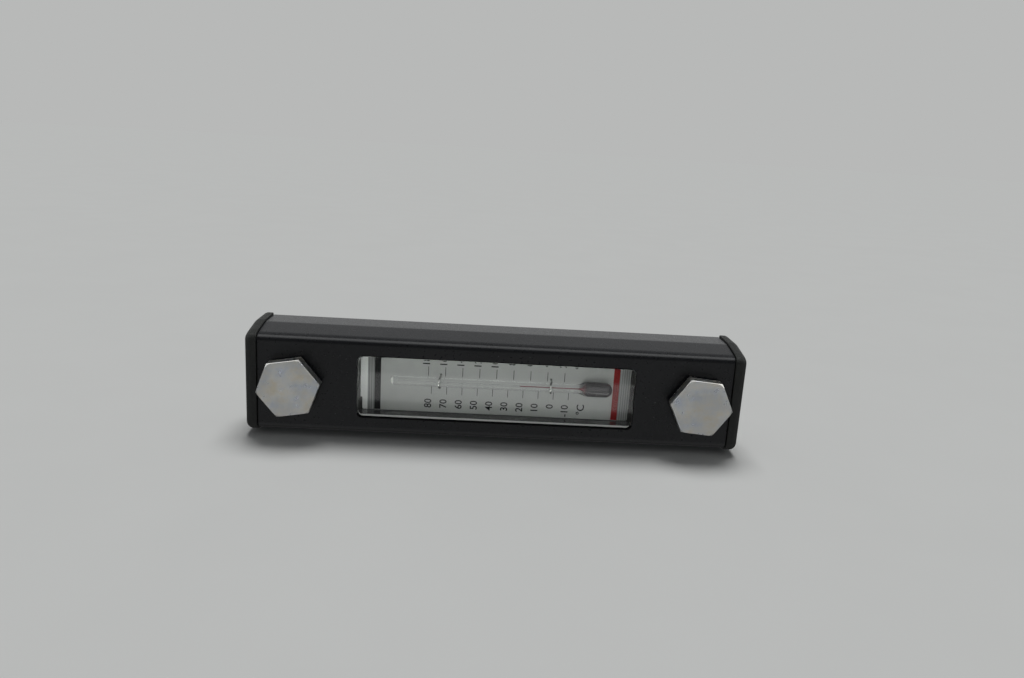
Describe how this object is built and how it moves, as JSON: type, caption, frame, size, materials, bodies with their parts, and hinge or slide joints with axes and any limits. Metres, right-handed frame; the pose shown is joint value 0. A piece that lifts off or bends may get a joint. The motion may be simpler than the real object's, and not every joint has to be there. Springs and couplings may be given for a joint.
{
  "type": "fluid level gauge with thermometer",
  "caption": "Black tank-wall fluid level gauge with a clear window, a glass thermometer on a printed scale, and hollow hexagon bolts with seals, washers and nuts.",
  "frame": {"origin": "on the tank face (the plane of the end blocks' back faces), midway between the axes of the two bolts", "axes": "+X along the gauge from the maximum line to the minimum line, +Y out of the back along the bolts towards the tank, +Z across the gauge's width; the window faces -Y"},
  "size_m": [0.1556, 0.0505, 0.0348],
  "materials": {
    "cover_paint": "satin black powder coat",
    "cap_plastic": "fine matte texture",
    "block_plastic": "moulded",
    "clear_plastic": "clear, polished",
    "seal_rubber": "matte",
    "zinc_steel": "zinc plated and passivated",
    "white_plate": "printed satin",
    "thermometer_glass": "clear",
    "bulb_spirit": "dark liquid in glass",
    "red_spirit": "red liquid in glass",
    "clip_wire": "bright wire"
  },
  "bodies": {
    "root": {"cover": "cover_paint", "sight_tube": "clear_plastic", "scale_plate": "white_plate", "thermometer_glass": "thermometer_glass", "bulb_liquid": "bulb_spirit", "end_cap_upper": "cap_plastic", "end_block_upper": "block_plastic", "tube_seal_upper": "seal_rubber", "tank_seal_upper": "seal_rubber", "shank_seal_upper": "seal_rubber", "head_seal_upper": "seal_rubber", "wire_clip_upper": "clip_wire", "end_cap_lower": "cap_plastic", "end_block_lower": "block_plastic", "tube_seal_lower": "seal_rubber", "tank_seal_lower": "seal_rubber", "shank_seal_lower": "seal_rubber", "head_seal_lower": "seal_rubber", "wire_clip_lower": "clip_wire"},
    "spirit": {"spirit_thread": "red_spirit"},
    "bolt_upper": {"banjo_bolt_upper": "zinc_steel"},
    "washer_upper": {"washer_upper": "zinc_steel"},
    "nut_upper": {"nut_upper": "zinc_steel"},
    "bolt_lower": {"banjo_bolt_lower": "zinc_steel"},
    "washer_lower": {"washer_lower": "zinc_steel"},
    "nut_lower": {"nut_lower": "zinc_steel"}
  },
  "joints": [
    {"name": "bolt_upper_turn", "type": "hinge", "parent": "root", "child": "bolt_upper", "pos_m": [-0.0635, 0, 0], "axis": [0, -1, 0], "continuous": true},
    {"name": "washer_upper_slide", "type": "slide", "parent": "bolt_upper", "child": "washer_upper", "axis": [0, -1, 0], "range_m": [0, 0.009]},
    {"name": "nut_upper_turn", "type": "hinge", "parent": "washer_upper", "child": "nut_upper", "pos_m": [-0.0635, 0.017, 0], "axis": [0, -1, 0], "range_deg": [0, 2160]},
    {"name": "bolt_lower_turn", "type": "hinge", "parent": "root", "child": "bolt_lower", "pos_m": [0.0635, 0, 0], "axis": [0, -1, 0], "continuous": true},
    {"name": "washer_lower_slide", "type": "slide", "parent": "bolt_lower", "child": "washer_lower", "axis": [0, -1, 0], "range_m": [0, 0.009]},
    {"name": "nut_lower_turn", "type": "hinge", "parent": "washer_lower", "child": "nut_lower", "pos_m": [0.0635, 0.017, 0], "axis": [0, -1, 0], "range_deg": [0, 2160]},
    {"name": "spirit_rise", "type": "slide", "parent": "root", "child": "spirit", "axis": [-1, 0, 0], "range_m": [-0.01617, 0.02847], "deforming": ["spirit_thread"]}
  ],
  "couplings": [
    {"joint": "nut_upper_turn", "follows": "washer_upper_slide", "rad_per_m": 4188.8},
    {"joint": "nut_lower_turn", "follows": "washer_lower_slide", "rad_per_m": 4188.8}
  ]
}
